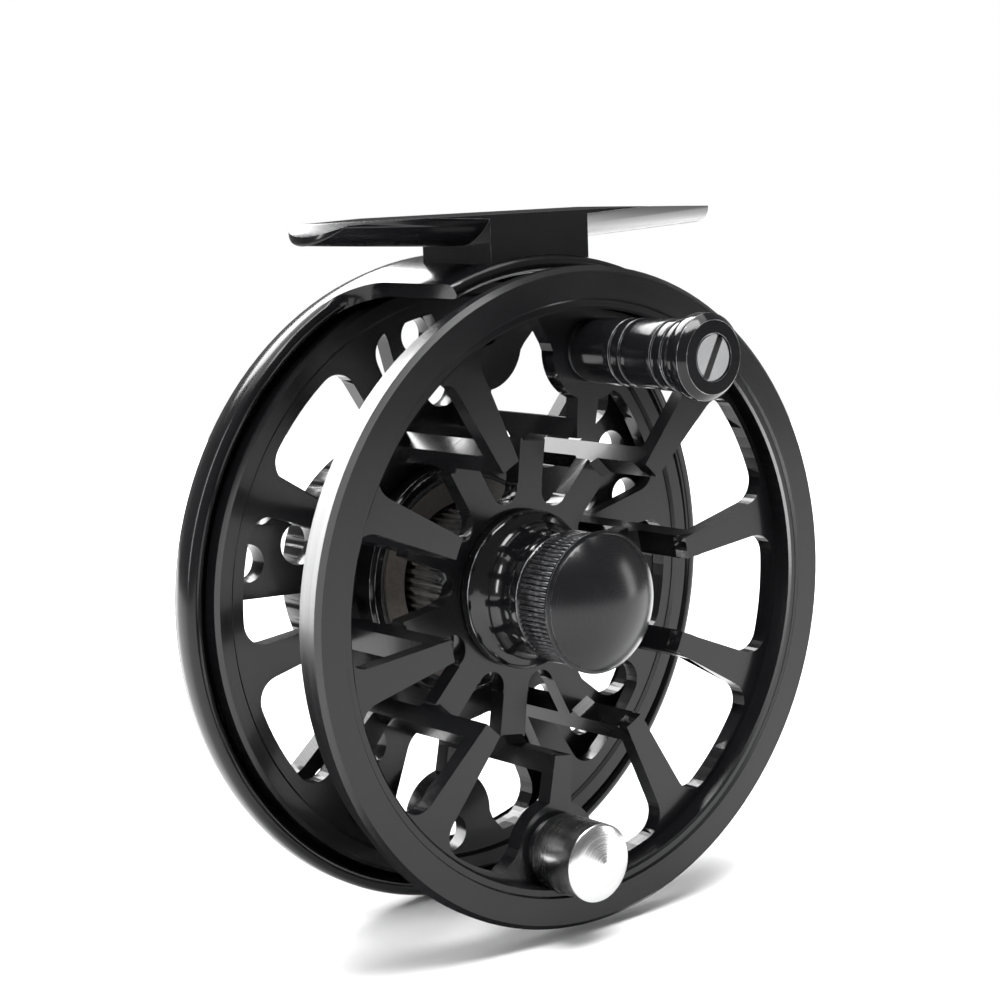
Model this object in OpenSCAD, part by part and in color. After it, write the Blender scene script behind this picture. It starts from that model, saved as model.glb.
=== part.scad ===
// Large-arbor fly reel with a half-cage frame, a spoked spool and a sealed disc drag.
// +Z is up, the spool turns about the Y axis, the handle side faces -Y and the
// foot lies along X above the frame. The origin is the middle of the foot, level with
// the upper edges of its hollow, where it rests under a rod. Depths in the modules are
// measured backwards along the spool axis from the front of the palming rim.

/* [Spool] */
// Radius of the front palming rim
rim_r = 41.25; // [38:0.25:50]
// Width of the palming rim's flat front band
rim_band = 3.95; // [2.5:0.05:6]
// Thickness of the palming rim
rim_t = 2.3; // [1.6:0.1:4]
// Depth of the spoke face behind the front of the rim
face_recess = 3.0; // [1.5:0.1:5]
// Thickness of both spoked flanges
web_t = 2.2; // [1.6:0.1:3.5]
// Distance from the front of the rim to the rear flange's inner face
line_depth = 24.0; // [18:0.5:34]
// Radius of the rear flange
rear_flange_r = 39.5; // [36:0.25:48]
// Radius that the outer windows reach
window_r = 35.3; // [31:0.1:44]
// Corner radius of the outer windows
window_corner = 3.0; // [1:0.1:4]
// Number of spokes
spokes = 10; // [6:2:14]
// Angle of the first spoke above the X axis
spoke_phase = 10.5; // [0:0.5:36]
// Angle that one outer spoke fills
spoke_angle = 7.9; // [5:0.1:10]
// Outer radius of the arbor bars
arbor_r = 22.3; // [20:0.1:26]
// Radial thickness of the arbor bars
bar_t = 2.4; // [1.6:0.1:3.2]
// Width of the arbor bars
bar_w = 3.1; // [2.4:0.1:4]
// Depth of the inner spokes' face behind the front of the rim
hub_depth = 13.0; // [10:0.5:16]
// Thickness of the inner spokes
hub_web_t = 2.4; // [1.6:0.1:3.5]
// Width of the inner spokes
inner_spoke_w = 3.7; // [2.5:0.1:4.5]
// Radius of the solid hub inside the inner spokes
hub_r = 11.3; // [11:0.1:12.5]

/* [Handle and counterweight] */
// Distance from the spool axis to the handle
crank_r = 30.9; // [28:0.1:34]
// Distance from the spool axis to the counterweight
weight_orbit = 31.9; // [28:0.1:34]
// Radius of the round pads under the handle and the counterweight
pad_r = 6.3; // [5:0.1:7]
// Length of the handle grip
grip_len = 21.0; // [16:0.1:30]
// Largest radius of the handle grip
grip_r = 5.2; // [4.6:0.1:7]
// Radius of the grip at its root
grip_root_r = 4.0; // [3.5:0.1:4.5]
// Radius of the handle stud that the grip turns on
stud_r = 2.0; // [1.5:0.1:2.5]
// Radius of the slotted handle screw's head
screw_head_r = 2.8; // [2.4:0.1:3.2]
// Radius of the counterweight
weight_r = 4.9; // [3.5:0.1:6]
// Length of the counterweight without its cone
weight_len = 8.0; // [5:0.1:12]
// Height of the counterweight's turned cone
weight_cone = 1.2; // [0.4:0.1:3]

/* [Release knob] */
// Radius of the domed cap
dome_r = 8.9; // [8:0.1:11]
// Height of the dome
dome_h = 3.5; // [2:0.1:5]
// Distance that the dome's lip stands in front of the rim
dome_front = 2.3; // [0:0.1:6]
// Length of the knurled band
knurl_len = 5.7; // [4:0.1:7]
// Number of ridges round the knurled band
knurls = 48; // [24:4:72]

/* [Frame] */
// Outer radius of the frame
frame_r = 42.5; // [39:0.25:52]
// Radial thickness of the frame's rim and bridge
frame_wall = 2.1; // [1.6:0.1:3.5]
// Thickness of the frame's back plate
plate_t = 2.6; // [2:0.1:4]
// Axial gap between the spool and the frame's back plate
back_gap = 1.6; // [0.6:0.1:3]
// Distance from the front of the rim to the front edge of the bridge
bridge_front = 6.4; // [5.8:0.1:9]
// Half of the bridge's width
bridge_half = 14.4; // [11:0.1:18]
// Number of lands in the back plate
lands = 5; // [3:1:6]
// Angle from a land's middle to its edge
land_half = 14.5; // [12:0.5:20]
// Radius that the back plate's windows reach
plate_window_r = 36.6; // [32:0.1:44]

/* [Foot] */
// Length of the foot
foot_len = 63.4; // [56:0.1:72]
// Width of the foot
foot_w = 13.5; // [12:0.1:15]
// Height of the foot's edges above the spool axis
foot_top = 47.75; // [46:0.05:58]
// Depth of the hollow along the top of the foot
foot_hollow = 1.6; // [1:0.1:2.6]
// Depth of the foot's crescent from its edges to its keel
foot_keel = 3.9; // [3.4:0.1:5]
// Thickness of the foot's middle at its tips
foot_tip_t = 1.1; // [0.8:0.1:2]
// Distance that the foot's middle lies beside the stem's middle
foot_shift = 0.7; // [0:0.1:2]
// Length of the stem along the foot
stem_len = 15.8; // [12:0.1:22]
// Distance from the front of the rim to the front of the foot
foot_front = 7.4; // [5:0.1:14]

/* [Drag] */
// Radius of the drag housing
housing_r = 15.5; // [14:0.1:17]
// Radius of the splined drive gear
gear_r = 10.0; // [9.9:0.1:10.4]
// Number of splines on the drive gear
splines = 40; // [24:4:60]
// Radius of the spindle
spindle_r = 3.0; // [2.4:0.1:3.4]
// Outer radius of the bearings
bearing_r = 6.0; // [5:0.1:7]
// Radius of the drag knob
knob_r = 17.8; // [15:0.1:22]
// Length of the drag knob
knob_len = 6.8; // [5:0.1:12]
// Radial clearance of the turning fits
run_gap = 0.05; // [0.02:0.01:0.1]

/* [Hidden] */
$fn = 96;
eps = 0.01;

web_back = face_recess + web_t;
rear_back = line_depth + web_t;
hub_web_back = hub_depth + hub_web_t;
plate_front = rear_back + back_gap;
plate_back = plate_front + plate_t;
pitch = 360 / spokes;
bar_in = arbor_r - bar_t;
handle_angle = spoke_phase + 2 * pitch;
weight_angle = handle_angle + 180;
window_in = bar_in - 1;

// Rear hub of the spool, and the splined drive gear that fits over it.
hub_tube_r = bearing_r + 2.4;
hub_tube_back = hub_web_back + 4.0;
gear_front = hub_web_back + 0.6;
clutch_r = bearing_r;
sleeve_r = spindle_r + 1.0;

// Drag housing from its mouth backwards: cover, click chamber, reaction ring, discs, springs.
housing_front = line_depth + 0.5;
cavity_r = housing_r - 1.5;
cover_front = housing_front - 0.1;
cover_t = 0.8;
chamber_front = cover_front + cover_t;
gear_back = chamber_front + 1.9;
reaction_front = chamber_front + 2.1;
reaction_t = 0.8;
stack_front = reaction_front + reaction_t;
friction_t = 0.8;
rotor_t = 1.0;
pressure_t = 1.0;
rotor_front = stack_front + friction_t + run_gap;
rear_disc_front = rotor_front + rotor_t + run_gap;
pressure_front = rear_disc_front + friction_t;
spring_t = 0.5;
spring_rise = 0.5;
spring_front = pressure_front + pressure_t;
wall_front = spring_front + 2 * (spring_t + spring_rise);
wall_t = 1.8;
flange_r = housing_r + 3.2;
flange_back = plate_back + 1.6;
cup_back = max(flange_back, wall_front + wall_t);
knob_front = cup_back + 0.8;
knob_back = knob_front + knob_len;
knob_sink = 2.6;
thread_r = spindle_r - 0.5;
pin_orbit = 8.0;
pin_r = 1.0;
pin_angles = [0, 120, 240];
pins_front = wall_front - spring_rise + 0.3;
pawl_angle = 118;
pawl_orbit = 12.4;
pawl_pin_r = 0.5;
flange_screw_angles = [45:90:315];
flange_screw_orbit = housing_r + 1.6;
flange_screw_r = 0.8;
flange_screw_head_r = 1.3;

// Release knob and hub sleeve.
knurl_front = -dome_front + 1.0;
knurl_back = knurl_front + knurl_len;
sleeve_front = knurl_back + 0.15;
knurl_r = dome_r - 0.35;
latch_r = 7.0;
front_bearing_front = sleeve_front + 2.4;
bearing_w = 4.0;
spigot_r = bearing_r + 1.2;
spigot_len = 1.2;
// Clearance of seats inside one assembled body
seat_gap = 0.03;
// Depth of the pocket that clears the counterweight in the palming rim
weight_pocket = 0.1;

weight_screw_r = 1.6;
weight_thread_r = 1.4;
grip_front = face_recess - 0.4 - grip_len;
grip_back = face_recess - 0.4;
weight_front = face_recess - weight_len;

foot_mid = foot_front + foot_w / 2;
foot_end_r = 8.3 / 13.5 * foot_w;
foot_end_sag = foot_end_r - sqrt(foot_end_r * foot_end_r - foot_w * foot_w / 4);
seat_r = frame_r - 0.4;
foot_edge_t = 0.5;
foot_screw_x = 4.2;
foot_screw_r = 1.25;
foot_screw_head_r = 2.6;

module colour_black() { color([0.035, 0.035, 0.04]) children(); }
module colour_steel() { color([0.75, 0.75, 0.77]) children(); }
module colour_grey() { color([0.36, 0.34, 0.32]) children(); }
module colour_carbon() { color([0.16, 0.15, 0.14]) children(); }

// Moves the design from the spool axis and the rim's front plane to the foot's origin.
module placed() { translate([0, -foot_mid, -foot_top]) children(); }
// Turns a drawing so that its own +Z is the front of the reel and its own +Y is up.
module facing() { rotate([90, 0, 0]) children(); }
module on_axis() { placed() facing() children(); }

// A disc or a ring between two depths.
module disc(r, front, back) { translate([0, 0, -back]) cylinder(r = r, h = back - front); }
module ring(ro, ri, front, back) {
    difference() {
        disc(ro, front, back);
        disc(ri, front - 1, back + 1);
    }
}
// A round body turned from a list of [radius, depth] points.
module turned(points) { rotate_extrude() polygon([for (p = points) [p[0], -p[1]]]); }
// A flat drawing cut out between two depths.
module plate(front, back) { translate([0, 0, -back]) linear_extrude(back - front) children(); }

module at_polar(r, a) { rotate(a) translate([r, 0, 0]) children(); }

function polar(r, a) = [r * cos(a), r * sin(a)];
function arc(c, r, a0, a1, n) = [for (i = [0:n]) c + polar(r, a0 + (a1 - a0) * i / n)];

// Outline of a window between two radial edges, with a rounded corner against the rim.
function window_outline(r_in, r_out, a0, a1, c) =
    let (d = asin(c / (r_out - c)))
    concat([polar(r_in, a0)],
           arc(polar(r_out - c, a0 + d), c, a0 - 90, a0 + d, 8),
           arc([0, 0], r_out, a0 + d + 1, a1 - d - 1, 6),
           arc(polar(r_out - c, a1 - d), c, a1 - d, a1 + 90, 8),
           [polar(r_in, a1)]);

// Outline of a window whose four corners are all rounded.
module rounded_window(r_in, r_out, half_angle, c) {
    d_in = asin(c / (r_in + c));
    d_out = asin(c / (r_out - c));
    b_in = polar(r_in + c, half_angle - d_in);
    b_out = polar(r_out - c, half_angle - d_out);
    polygon(concat(arc([b_out.x, -b_out.y], c, -90 - half_angle, -half_angle + d_out, 8),
                   arc([0, 0], r_out, 2 - half_angle + d_out, half_angle - d_out - 2, 8),
                   arc(b_out, c, half_angle - d_out, 90 + half_angle, 8),
                   arc(b_in, c, 90 + half_angle, 180 + half_angle - d_in, 8),
                   arc([0, 0], r_in, half_angle - d_in - 2, 2 - half_angle + d_in, 4),
                   arc([b_in.x, -b_in.y], c, 180 - half_angle + d_in, 270 - half_angle, 8)));
}

// Round pad that carries the handle or the counterweight, flared into the rim.
module crank_pad(orbit) {
    edge = window_r + 0.4;
    translate([orbit, 0]) circle(pad_r);
    polygon([[orbit - 0.5, -pad_r], [orbit + 0.4, -pad_r - 0.5], [edge, -pad_r - 4],
             [edge, pad_r + 4], [orbit + 0.4, pad_r + 0.5], [orbit - 0.5, pad_r]]);
}

// Ring of outer windows with a pad on two opposite spokes.
module spoked_flange(outer_r) {
    difference() {
        circle(outer_r);
        circle(bar_in);
        difference() {
            for (k = [0:spokes - 1])
                polygon(window_outline(window_in, window_r, spoke_phase + k * pitch + spoke_angle / 2,
                                       spoke_phase + (k + 1) * pitch - spoke_angle / 2, window_corner));
            rotate(handle_angle) crank_pad(crank_r);
            rotate(weight_angle) crank_pad(weight_orbit);
        }
    }
}

// One slot between two inner spokes, open towards the arbor bars.
module inner_slot() {
    end_r = hub_r + 2.1;
    half = end_r * sin(pitch / 2) - inner_spoke_w / 2;
    far = bar_in + 1;
    far_half = far * sin(pitch / 2) - inner_spoke_w / 2;
    translate([end_r, 0]) circle(min(half, 2.1), $fn = 48);
    polygon([[end_r, -half], [far, -far_half], [far + 3, 0], [far, far_half], [end_r, half]]);
}

// Arbor bar and inner spoke, as one rib of the spool.
module arbor_rib() {
    rotate([90, 0, 0]) translate([0, 0, -bar_w / 2]) linear_extrude(bar_w)
        polygon([[arbor_r, -face_recess - eps], [arbor_r - 0.8, -face_recess - eps],
                 [bar_in, -face_recess - 1.6], [bar_in, -hub_depth + 1], [bar_in - 1, -hub_depth],
                 [bar_in - 1, -hub_web_back], [bar_in, -hub_web_back - 1],
                 [bar_in, -rear_back + eps], [arbor_r, -rear_back + eps]]);
}

module spool() {
    colour_black() on_axis() difference() {
        union() {
            plate(face_recess, web_back) spoked_flange(rim_r - 1.2);
            plate(line_depth, rear_back) spoked_flange(rear_flange_r - 0.4);
            // Palming rim
            turned([[window_r + 0.7, web_back - 0.6], [window_r + 0.7, 0.6], [window_r + 1.0, 0.35],
                    [rim_r - rim_band - 0.25, 0.35], [rim_r - rim_band, 0], [rim_r - 0.6, 0],
                    [rim_r, 0.6], [rim_r, rim_t - 0.4], [rim_r - 0.4, rim_t], [rim_r - 1.3, rim_t + 0.3],
                    [rim_r - 1.6, web_back - 0.6]]);
            // Rim of the rear flange
            turned([[window_r + 1.6, rear_back - 0.3], [window_r + 1.6, line_depth - 0.1],
                    [window_r + 2.0, line_depth - 0.5], [rear_flange_r - 0.5, line_depth - 0.5],
                    [rear_flange_r, line_depth], [rear_flange_r, rear_back - 0.3],
                    [rear_flange_r - 0.3, rear_back]]);
            for (k = [0:spokes - 1]) rotate(spoke_phase + k * pitch) arbor_rib();
            // Inner spokes
            plate(hub_depth, hub_web_back) difference() {
                circle(bar_in - 0.6);
                for (k = [0:spokes - 1]) rotate(spoke_phase + (k + 0.5) * pitch) inner_slot();
            }
            disc(hub_tube_r, hub_depth, hub_tube_back);
        }
        disc(bearing_r, hub_web_back, hub_tube_back + 1);
        disc(spindle_r + 1.2, hub_depth - 1, hub_tube_back + 1);
        disc(spigot_r, hub_depth - 1, hub_depth + spigot_len);
        at_polar(crank_r, handle_angle) disc(stud_r + seat_gap, 0, web_back + 1);
        at_polar(weight_orbit, weight_angle) disc(weight_screw_r, 0, web_back + 1);
        at_polar(weight_orbit, weight_angle) disc(weight_r + weight_pocket, -1, face_recess);
        // Lightening holes in the rear flange's pads
        at_polar(crank_r + 2, handle_angle) disc(2.4, line_depth - 1, rear_back + 1);
        at_polar(weight_orbit + 2, weight_angle) disc(2.4, line_depth - 1, rear_back + 1);
    }
}

// Bell-shaped sleeve in front of the hub, which carries the front bearing.
module hub_sleeve() {
    neck = sleeve_front + 1.9;
    foot = hub_depth - 1.4;
    colour_black() on_axis() difference() {
        union() {
            turned(concat([[0, sleeve_front], [7.5, sleeve_front], [7.9, sleeve_front + 0.4],
                           [7.9, neck - 0.3], [7.6, neck]],
                          [for (a = [0:15:90])
                               [9.6 - 2.2 * cos(a), neck + 0.6 + (foot - neck - 1.2) * sin(a)]],
                          [[10.0, foot - 0.3], [10.2, foot], [10.2, hub_depth - 0.3], [9.9, hub_depth],
                           [0, hub_depth]]));
            disc(spigot_r - seat_gap, hub_depth - eps, hub_depth + spigot_len);
        }
        disc(bearing_r, front_bearing_front, front_bearing_front + bearing_w);
        disc(spindle_r + 1.2, sleeve_front - 1, hub_depth + 2);
    }
}

// Sealed ball bearing: two rings with a shielded ball row between them.
module bearing(front) {
    ring(bearing_r, bearing_r - 0.9, front, front + bearing_w);
    ring(spindle_r + run_gap + 0.8, spindle_r + run_gap, front, front + bearing_w);
    ring(bearing_r - 0.9 + eps, spindle_r + run_gap + 0.8 - eps, front + 0.3, front + bearing_w - 0.3);
}
module front_bearing() { colour_steel() on_axis() bearing(front_bearing_front); }
module rear_bearing() { colour_steel() on_axis() bearing(hub_web_back); }

// Splined gear over the spool's rear hub; the drag holds it through the one-way clutch.
module drive_gear() {
    colour_steel() on_axis() difference() {
        disc(gear_r, gear_front, gear_back);
        disc(hub_tube_r + 0.1, gear_front - 1, hub_tube_back + 0.2);
        disc(clutch_r, gear_front, gear_back + 1);
        for (k = [0:splines - 1]) rotate(k * 360 / splines) translate([gear_r, 0, -gear_back - 1])
            rotate(45) cube([0.72, 0.72, 2 * (gear_back - gear_front) + 4], center = true);
    }
}

module one_way_clutch() {
    colour_steel() on_axis() {
        ring(clutch_r, clutch_r - 0.6, hub_tube_back + 0.3, gear_back);
        ring(clutch_r - 0.6 + eps, sleeve_r + run_gap, hub_tube_back + 0.6, gear_back - 0.3);
    }
}

module release_knob() {
    colour_black() on_axis() difference() {
        union() {
            disc(knurl_r - 0.35, knurl_front - 0.05, knurl_back);
            disc(knurl_r, knurl_front + 0.25, knurl_back - 0.35);
        }
        disc(latch_r, knurl_front - 1, knurl_front + 2.2);
        disc(spindle_r + 0.5, knurl_front, knurl_back + 1);
        for (k = [0:knurls - 1]) rotate(k * 360 / knurls)
            translate([knurl_r + 0.05, 0, -(knurl_front + knurl_back) / 2])
                rotate(45) cube([0.62, 0.62, knurl_len + 2], center = true);
    }
}

module knob_cap() {
    sphere_r = (pow(dome_r - 0.4, 2) + dome_h * dome_h) / (2 * dome_h);
    lip = -dome_front;
    colour_black() on_axis() {
        turned([[0, lip + 0.3], [dome_r - 0.3, lip + 0.3], [dome_r, lip + 0.45], [dome_r, lip + 0.7],
                [dome_r - 0.3, knurl_front - 0.05], [0, knurl_front - 0.05]]);
        intersection() {
            translate([0, 0, dome_front + dome_h - sphere_r]) rotate([90, 0, 0]) sphere(sphere_r, $fn = 160);
            disc(dome_r - 0.4, lip - dome_h - 1, lip + 0.4);
        }
        ring(latch_r, spindle_r + 0.4, knurl_front - 0.06, knurl_front + 1.2);
    }
}

// Keyhole plate in the knob that holds the groove of the spindle.
module latch_plate() {
    colour_steel() on_axis() ring(latch_r, spindle_r - 0.6 + run_gap, knurl_front + 1.3, knurl_front + 2.2);
}

// Spindle, with a groove near its tip for the latch plate and a thread at the back.
module spindle() {
    groove_front = knurl_front + 1.25;
    colour_steel() on_axis() {
        disc(spindle_r - 0.2, groove_front - 0.8, groove_front);
        disc(spindle_r - 0.6, groove_front, groove_front + 1.0);
        disc(spindle_r, groove_front + 1.0, cup_back);
        disc(thread_r, cup_back, knob_back - knob_sink + 2.0);
    }
}

module handle_at() { at_polar(crank_r, handle_angle) children(); }
module weight_at() { at_polar(weight_orbit, weight_angle) children(); }

// Shouldered stud, screwed into the spool, that the grip turns on.
module handle_stud() {
    colour_steel() on_axis() handle_at() difference() {
        union() {
            disc(stud_r, grip_front + 2.4, web_back - 0.2);
            disc(stud_r + 0.7, face_recess - 0.2, face_recess);
        }
        disc(1.1, grip_front, grip_front + 7);
    }
}

module handle_washer() {
    colour_steel() on_axis() handle_at()
        ring(grip_root_r - 0.3, stud_r + 0.75, face_recess - 0.2, face_recess);
}

module handle_grip() {
    f = grip_front;
    b = grip_back;
    groove_1 = b - 7.3;
    groove_2 = b - 9.1;
    groove_3 = b - 14.7;
    groove_4 = b - 16.5;
    function body_r(d) = grip_root_r + (4.5 - grip_root_r) * (b - d) / grip_len;
    function groove(d) = [[body_r(d), d + 0.16], [body_r(d) - 0.22, d + 0.08], [body_r(d) - 0.22, d - 0.08],
                          [body_r(d), d - 0.16]];
    colour_black() on_axis() handle_at() difference() {
        turned(concat([[0, b], [grip_root_r - 0.3, b], [grip_root_r, b - 0.3]],
                      groove(groove_1), groove(groove_2), groove(groove_3), groove(groove_4),
                      [[body_r(f + 3.6), f + 3.6], [grip_r - 0.15, f + 2.7], [grip_r, f + 2.4],
                       [grip_r, f + 0.9], [grip_r - 0.8, f], [0, f]]));
        disc(stud_r + run_gap, f - 1, b + 1);
        disc(screw_head_r + run_gap, f - 1, f + 2.2);
    }
}

module handle_screw() {
    slot_w = 0.95;
    colour_steel() on_axis() handle_at() difference() {
        union() {
            disc(screw_head_r, grip_front + 0.25, grip_front + 2.0);
            disc(screw_head_r - 0.2, grip_front + 0.1, grip_front + 0.3);
            disc(1.1, grip_front + 1, grip_front + 6.5);
        }
        rotate(62 - handle_angle) translate([-4, -slot_w / 2, -(grip_front + 1.0)]) cube([8, slot_w, 2]);
    }
}

module counterweight() {
    f = weight_front;
    colour_steel() on_axis() weight_at() difference() {
        turned([[0, face_recess], [weight_r - 0.7, face_recess], [weight_r - 0.7, face_recess - 0.6],
                [weight_r, face_recess - 0.9], [weight_r, f + 0.25], [weight_r - 0.25, f],
                [0.4, f - weight_cone], [0, f - weight_cone]]);
        disc(weight_thread_r + seat_gap, f + 2, face_recess + 1);
    }
}

module counterweight_screw() {
    colour_steel() on_axis() weight_at() difference() {
        union() {
            disc(weight_thread_r, weight_front + 2.4, web_back + 0.1);
            disc(2.6, web_back, web_back + 1.0);
        }
        translate([-3, -0.3, -(web_back + 2)]) cube([6, 0.6, 1.5]);
    }
}

// Section of the frame's rim: a bead at the front and a rounded corner at the back.
bead_r = frame_wall / 2;
bead_mid = frame_r - bead_r;
rim_front = line_depth + 0.6;
back_round = 3.2;
bridge_angle = asin(bridge_half / bead_mid);
blend_r = 6.0;
blend_angle = asin(blend_r / bead_mid);
function bead(front, r = bead_r) =
    [for (a = [180:-30:0]) [bead_mid + r * cos(a), front + r - r * sin(a)]];
function rim_section() =
    concat([[frame_r - frame_wall, plate_back - 0.6]], bead(rim_front),
           [for (a = [0:30:90]) [frame_r - back_round + back_round * cos(a),
                                 plate_back - back_round + back_round * sin(a)]],
           [[frame_r - back_round - 3, plate_back]]);

// Removes what lies beside the bridge, with a concave blend into the rim.
module bridge_side_cut(side) {
    centre = rim_front + bead_r - 0.3 - blend_r;
    rotate(side * (bridge_angle + blend_angle)) translate([0, frame_r + 3, 0]) rotate([90, 0, 0])
        linear_extrude(frame_wall + 8) {
            translate([0, -centre]) circle(blend_r);
            translate([side > 0 ? -2 * blend_r : -blend_r, -centre])
                square([3 * blend_r, centre - bridge_front + 4]);
        }
}

// Shell that joins the rim to the foot.
module bridge() {
    spread = bridge_angle + blend_angle;
    join = rim_front + bead_r + 0.6;
    r = bead_r - 0.03;
    section = concat(bead(bridge_front, r), [[bead_mid + r, join], [bead_mid - r, join]]);
    difference() {
        rotate(90 - spread) rotate_extrude(angle = 2 * spread) polygon([for (p = section) [p[0], -p[1]]]);
        bridge_side_cut(1);
        bridge_side_cut(-1);
    }
}

// Flat outline of the back plate with its windows and holes.
module back_plate() {
    first_land = 19;
    land_pitch = 360 / lands;
    difference() {
        circle(frame_r - back_round - 0.5);
        circle(housing_r + seat_gap);
        for (k = [0:lands - 1]) {
            rotate(first_land + (k + 0.5) * land_pitch)
                rounded_window(flange_r + 1.6, plate_window_r, land_pitch / 2 - land_half, 3.6);
            rotate(first_land + k * land_pitch) {
                for (a = [-6.5, 6.5]) at_polar(32.4, a) circle(2.4);
                at_polar(25.2, 0) circle(2.7);
            }
        }
        for (a = flange_screw_angles) at_polar(flange_screw_orbit, a) circle(flange_screw_r + seat_gap);
    }
}

module frame() {
    colour_black() placed() difference() {
        facing() {
            turned(rim_section());
            plate(plate_front, plate_back) back_plate();
            bridge();
        }
        for (s = [-1, 1]) translate([s * foot_screw_x, foot_mid, 0]) {
            cylinder(r = foot_screw_r, h = frame_r + 5);
            cylinder(r = foot_screw_head_r + seat_gap, h = frame_r - frame_wall + 1.0);
        }
    }
}

// Plan of the foot between two distances along it.
module foot_blank(from, to) {
    translate([0, foot_mid, foot_top - foot_keel - 1]) linear_extrude(foot_keel + 1) intersection() {
        translate([foot_shift, 0]) union() {
            square([foot_len - 2 * foot_end_sag, foot_w], center = true);
            for (s = [-1, 1]) translate([s * (foot_len / 2 - foot_end_r), 0]) circle(foot_end_r);
        }
        translate([from, -foot_w / 2]) square([to - from, foot_w]);
    }
}

// Foot and stem in one piece; the stem is hollowed to sit on the bridge.
module reel_foot() {
    half = foot_w / 2;
    join = stem_len / 2;
    hollow_r = (half * half + foot_hollow * foot_hollow) / (2 * foot_hollow);
    keel_sag = foot_keel - foot_edge_t;
    keel_r = (half * half + keel_sag * keel_sag) / (2 * keel_sag);
    function tip(side) = foot_len / 2 + side * foot_shift;
    function tilt(side) = atan((foot_keel - foot_hollow - foot_tip_t) / (tip(side) - join));
    colour_black() placed() difference() {
        union() {
            for (side = [-1, 1]) intersection() {
                foot_blank(min(side * (join - 1), side * tip(side)), max(side * (join - 1), side * tip(side)));
                translate([side * join, foot_mid, foot_top - foot_keel]) rotate([0, -side * tilt(side), 0])
                    translate([0, 0, keel_r]) rotate([0, 90, 0])
                        cylinder(r = keel_r, h = foot_len, center = true);
            }
            translate([0, foot_mid, seat_r - 1.0]) linear_extrude(foot_top - seat_r + 1.0)
                square([stem_len, foot_w], center = true);
        }
        translate([0, foot_mid, foot_top - foot_hollow + hollow_r]) rotate([0, 90, 0])
            cylinder(r = hollow_r, h = foot_len + 10, center = true);
        facing() disc(frame_r, foot_front - 5, foot_front + foot_w + 5);
        for (s = [-1, 1]) translate([s * foot_screw_x, foot_mid, 0])
            cylinder(r = foot_screw_r, h = foot_top - foot_hollow - 0.8);
    }
}

module foot_screws() {
    head = frame_r - frame_wall + 0.2;
    colour_steel() placed() for (s = [-1, 1]) translate([s * foot_screw_x, foot_mid, 0]) difference() {
        union() {
            translate([0, 0, head]) cylinder(r = foot_screw_head_r, h = 0.8);
            translate([0, 0, head]) cylinder(r = foot_screw_r, h = foot_top - foot_hollow - 1.2 - head);
        }
        translate([0, 0, head - 1]) cylinder(r = 1.0, h = 1.5, $fn = 6);
    }
}

// Cup that holds the drag discs, fastened to the back plate by its flange.
module drag_housing() {
    colour_black() on_axis() difference() {
        turned([[0, wall_front], [cavity_r, wall_front], [cavity_r, housing_front],
                [housing_r - 0.5, housing_front], [housing_r, housing_front + 0.5], [housing_r, plate_back],
                [flange_r, plate_back], [flange_r, flange_back - 0.4], [flange_r - 0.4, flange_back],
                [housing_r, flange_back], [housing_r, cup_back - 0.8], [housing_r - 0.8, cup_back],
                [0, cup_back]]);
        disc(spindle_r + seat_gap, wall_front - 1, cup_back + 1);
        for (a = pin_angles) at_polar(pin_orbit, a) disc(pin_r + run_gap, wall_front - 1, cup_back + 1);
        for (a = flange_screw_angles) at_polar(flange_screw_orbit, a) {
            disc(flange_screw_r + seat_gap, plate_back - 2, flange_back + 1);
            disc(flange_screw_head_r + seat_gap, flange_back - 0.7, flange_back + 1);
        }
    }
}

module housing_screws() {
    colour_steel() on_axis() for (a = flange_screw_angles) at_polar(flange_screw_orbit, a) difference() {
        union() {
            disc(flange_screw_r, plate_front, flange_back - 0.6);
            disc(flange_screw_head_r, flange_back - 0.7, flange_back - 0.05);
        }
        translate([-2, -0.2, -flange_back - 0.2]) cube([4, 0.4, 0.5]);
    }
}

// Ring that closes the click chamber in front, round the drive gear.
module housing_cover() {
    colour_grey() on_axis() ring(cavity_r - 0.6, gear_r + 0.35, cover_front, chamber_front);
}

module housing_seal() {
    colour_black() on_axis() translate([0, 0, -(cover_front + 0.4)]) rotate_extrude()
        translate([cavity_r - 0.3, 0]) circle(0.3, $fn = 32);
}

// Fixed ring between the click chamber and the drag discs.
module reaction_ring() {
    colour_steel() on_axis() difference() {
        ring(cavity_r - seat_gap, sleeve_r + 0.3, reaction_front, stack_front);
        pawl_at() disc(pawl_pin_r + seat_gap, reaction_front - 1, stack_front + 1);
    }
}

module front_friction_disc() {
    colour_carbon() on_axis()
        ring(cavity_r - 0.2, sleeve_r + 0.6, stack_front, stack_front + friction_t);
}
module rear_friction_disc() {
    colour_carbon() on_axis()
        ring(cavity_r - 0.2, spindle_r + 1.2, rear_disc_front, rear_disc_front + friction_t);
}

// Steel disc on a sleeve; the one-way clutch grips the sleeve when line runs out.
module drag_rotor() {
    colour_steel() on_axis() difference() {
        union() {
            disc(sleeve_r, hub_tube_back + 0.4, rotor_front + eps);
            disc(cavity_r - 1.0, rotor_front, rotor_front + rotor_t);
        }
        disc(spindle_r + run_gap, hub_tube_back - 1, rotor_front + rotor_t + 1);
    }
}

module pressure_plate() {
    colour_steel() on_axis() ring(cavity_r - 0.2, spindle_r + 0.1, pressure_front, spring_front);
}

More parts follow.
